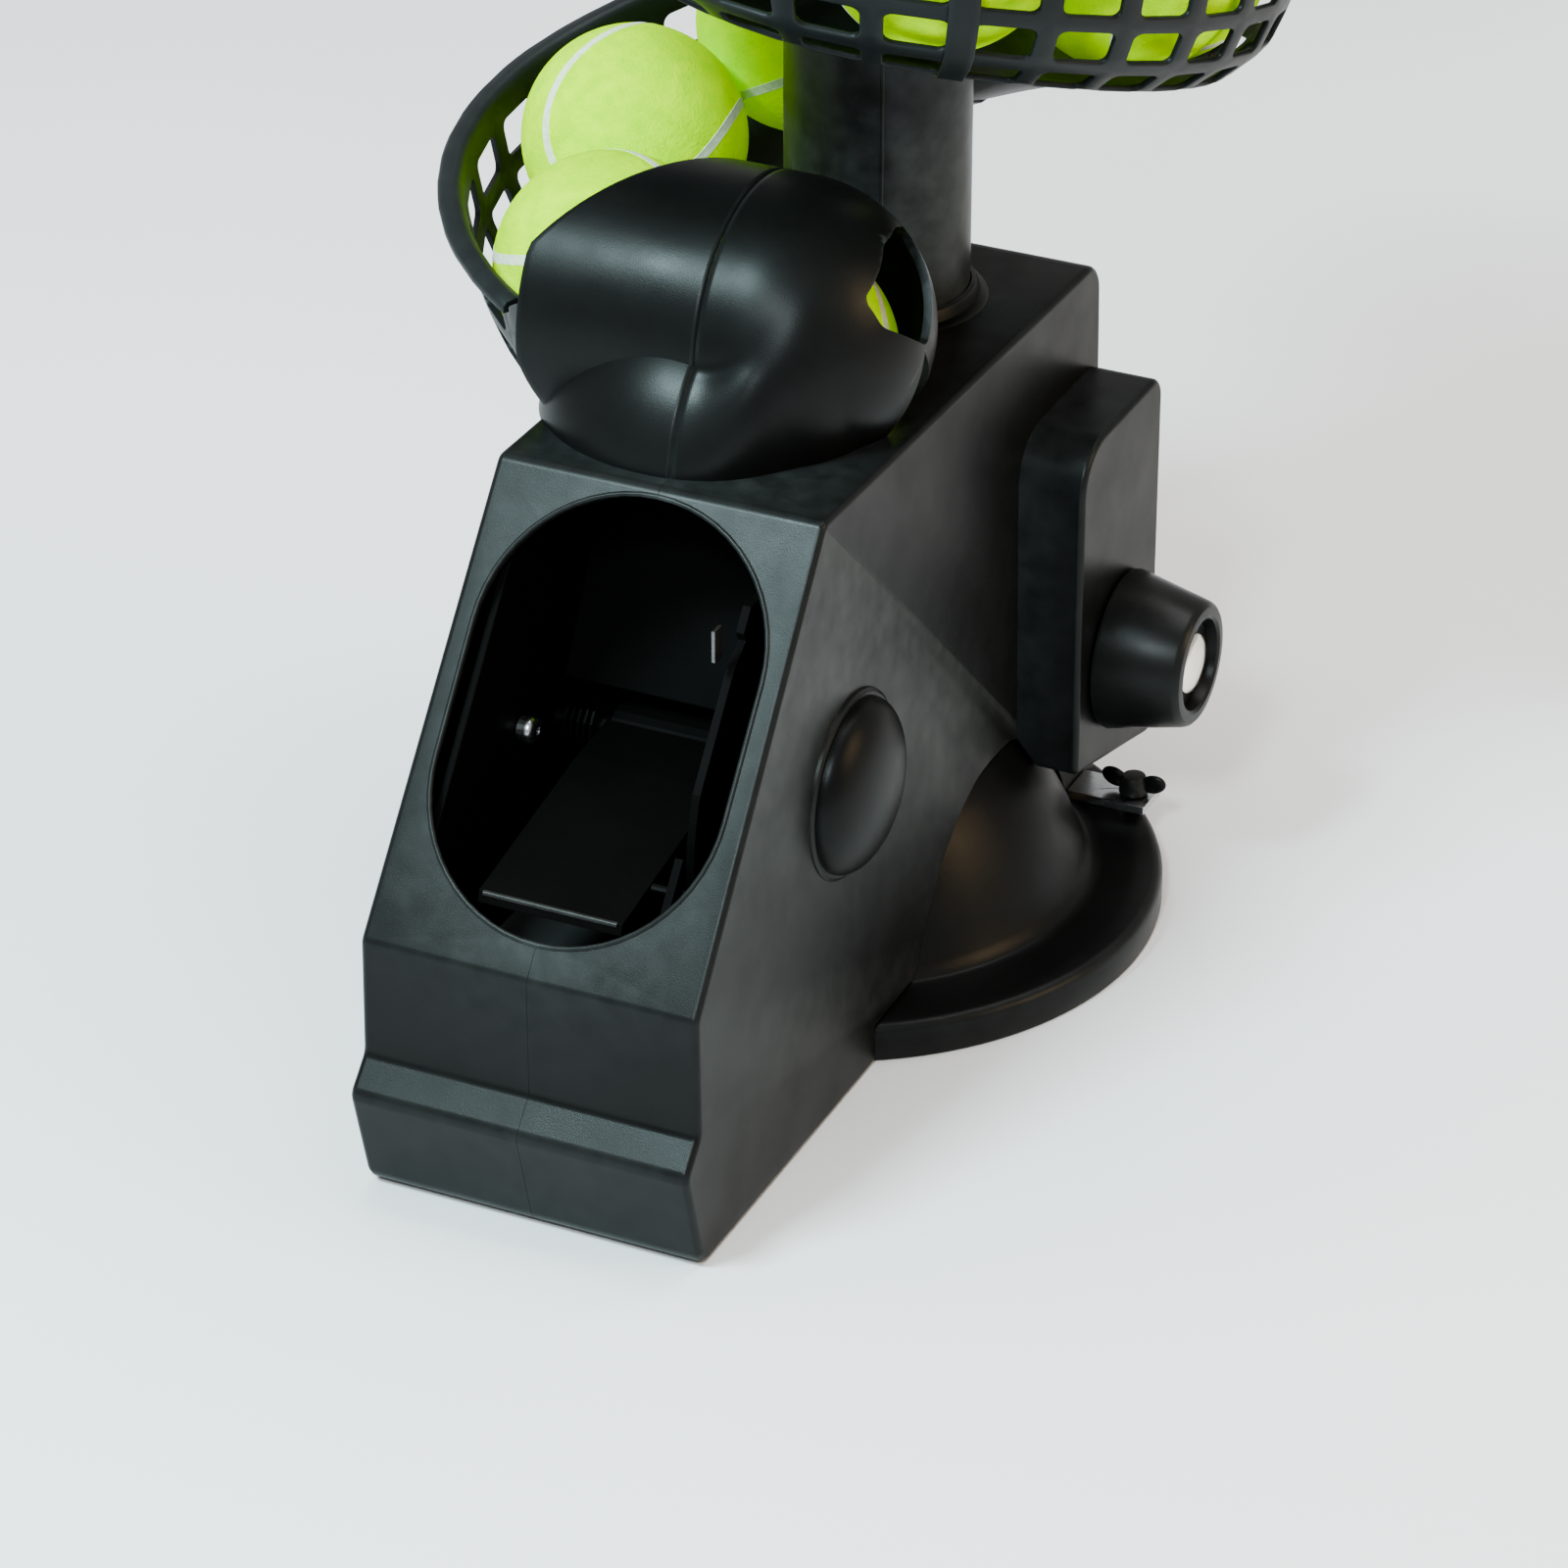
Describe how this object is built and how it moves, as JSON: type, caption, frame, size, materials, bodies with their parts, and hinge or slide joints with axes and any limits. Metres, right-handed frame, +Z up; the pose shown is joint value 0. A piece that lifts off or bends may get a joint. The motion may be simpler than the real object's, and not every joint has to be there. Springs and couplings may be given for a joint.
{
  "type": "ball tossing machine",
  "caption": "Table-top ball tosser: swing-arm throwing housing on a round swivel base, with a slotted spiral ball ramp wound round a central column.",
  "frame": {"origin": "centre of the round base on the floor", "axes": "+Z up, -Y towards the front outlet, +X towards the side with the control box and knob"},
  "size_m": [0.2492, 0.3585, 0.4963],
  "materials": {
    "housing_black": "satin moulded plastic, fine grain",
    "ramp_black": "satin moulded plastic",
    "knob_black": "satin moulded plastic",
    "inner_black": "matt moulded plastic",
    "rubber": "matt",
    "steel": "brushed",
    "felt": "fuzzy felt with pale seams",
    "board": "matt laminate",
    "gear_nylon": "natural nylon"
  },
  "bodies": {
    "base": {"base_stand": "housing_black", "base_plate": "rubber", "swivel_post": "steel", "swivel_nut": "steel"},
    "housing": {"arm_shaft": "steel", "arm_spring": "steel", "arm_stop": "steel", "ball_01": "felt", "ball_02": "felt", "ball_03": "felt", "ball_04": "felt", "ball_05": "felt", "ball_06": "felt", "ball_07": "felt", "ball_08": "felt", "ball_09": "felt", "ball_10": "felt", "ball_11": "felt", "ball_12": "felt", "ball_13": "felt", "battery_door": "housing_black", "battery_pack": "rubber", "cam_stud": "steel", "chamber_left_wall": "inner_black", "chamber_right_wall": "inner_black", "chamber_screw": "steel", "chassis_plate": "inner_black", "circuit_board": "board", "column_cap": "housing_black", "column_collar": "housing_black", "column_tube": "housing_black", "dc_jack": "knob_black", "feed_chute": "inner_black", "left_shell": "housing_black", "lock_lug": "steel", "motor": "steel", "motor_bracket": "steel", "potentiometer": "steel", "ramp_bracket_1": "ramp_black", "ramp_bracket_2": "ramp_black", "ramp_bracket_3": "ramp_black", "ramp_bracket_4": "ramp_black", "ramp_segment_1": "ramp_black", "ramp_segment_2": "ramp_black", "ramp_segment_3": "ramp_black", "ramp_segment_4": "ramp_black", "ramp_segment_5": "ramp_black", "right_shell": "housing_black", "side_box_cover": "housing_black", "switch_bezel": "knob_black"},
    "arm": {"throw_arm": "inner_black", "arm_pin": "steel", "arm_tail": "steel"},
    "cam": {"cam_gear": "gear_nylon"},
    "pinion": {"motor_pinion": "gear_nylon"},
    "knob": {"control_knob": "knob_black", "knob_disc": "steel"},
    "rocker": {"rocker_switch": "knob_black"},
    "wing": {"wing_bolt": "knob_black"}
  },
  "joints": [
    {"name": "housing_swivel", "type": "hinge", "parent": "base", "child": "housing", "pos_m": [0, 0, 0.064], "axis": [0, 0, 1], "range_deg": [-20, 20]},
    {"name": "arm_swing", "type": "hinge", "parent": "housing", "child": "arm", "pos_m": [0, -0.1, 0.1], "axis": [-1, 0, 0], "range_deg": [0, 52]},
    {"name": "cam_spin", "type": "hinge", "parent": "housing", "child": "cam", "pos_m": [0.0398, -0.04, 0.112], "axis": [1, 0, 0], "continuous": true},
    {"name": "pinion_spin", "type": "hinge", "parent": "housing", "child": "pinion", "pos_m": [0.0398, 0.004, 0.112], "axis": [1, 0, 0], "continuous": true},
    {"name": "knob_turn", "type": "hinge", "parent": "housing", "child": "knob", "pos_m": [0.083, 0.0474, 0.074], "axis": [-1, 0, 0], "range_deg": [0, 300]},
    {"name": "rocker_tip", "type": "hinge", "parent": "housing", "child": "rocker", "pos_m": [-0.02, 0.0753, 0.12], "axis": [-1, 0, 0], "range_deg": [0, 12]},
    {"name": "wing_turn", "type": "hinge", "parent": "housing", "child": "wing", "pos_m": [0.0705, 0.062, 0.0171], "axis": [0, 0, 1], "range_deg": [-90, 90]}
  ],
  "couplings": [
    {"joint": "pinion_spin", "follows": "cam_spin", "ratio": -3}
  ]
}
